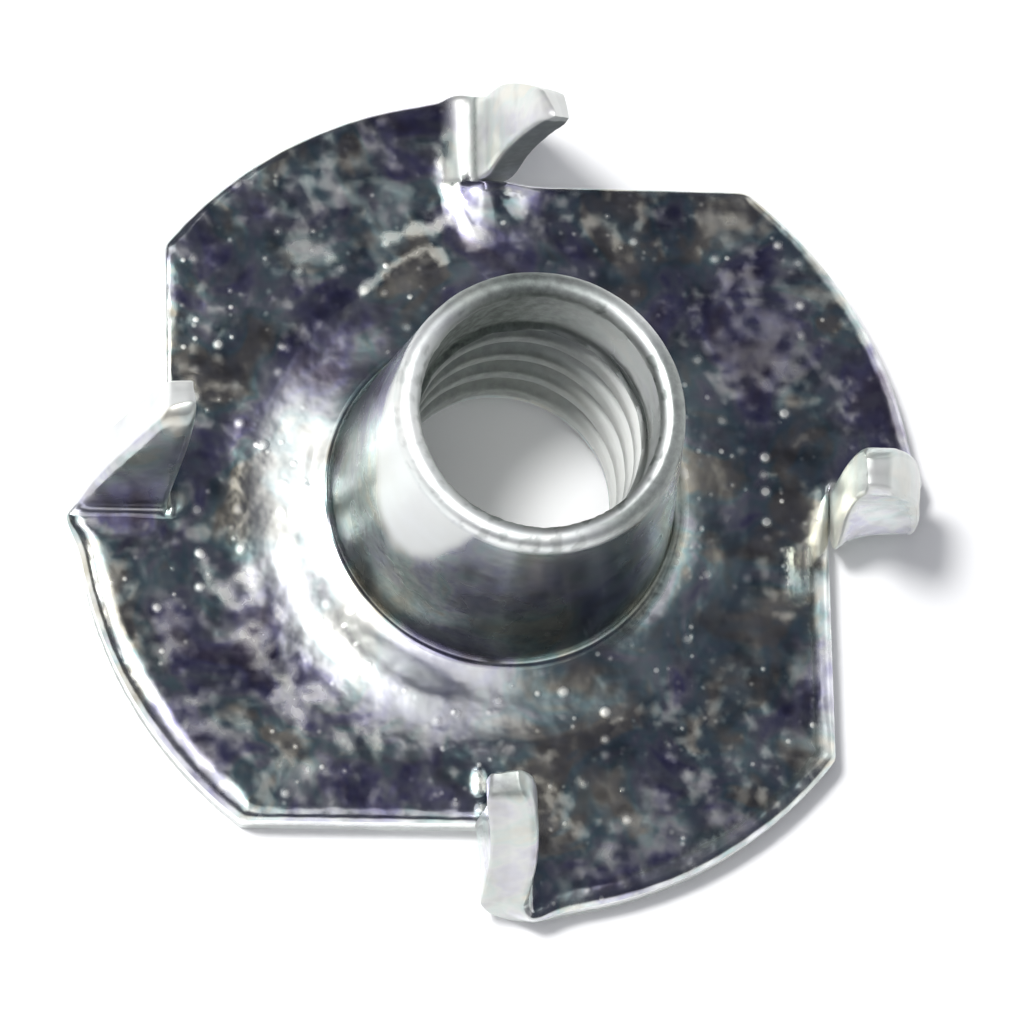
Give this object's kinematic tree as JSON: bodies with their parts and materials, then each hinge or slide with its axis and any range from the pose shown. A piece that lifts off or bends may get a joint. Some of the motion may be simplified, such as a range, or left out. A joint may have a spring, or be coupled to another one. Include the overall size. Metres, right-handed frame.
{
  "type": "tee nut",
  "caption": "Pronged tee nut of plated sheet steel: a round flange with straight-cut sides, upturned prongs and a drawn barrel with an internal thread.",
  "frame": {"origin": "on the barrel axis at the underside of the flange, the face that a hammer strikes", "axes": "+Z along the barrel axis, from the flange towards the rim and the prong tips; +Y towards the first prong"},
  "size_m": [0.019, 0.019, 0.0077],
  "materials": {
    "zinc_plate": "bright zinc plating with a clear blue passivate over drawn sheet steel, slightly pebbled"
  },
  "bodies": {
    "root": {"tee_nut": "zinc_plate"}
  },
  "joints": []
}
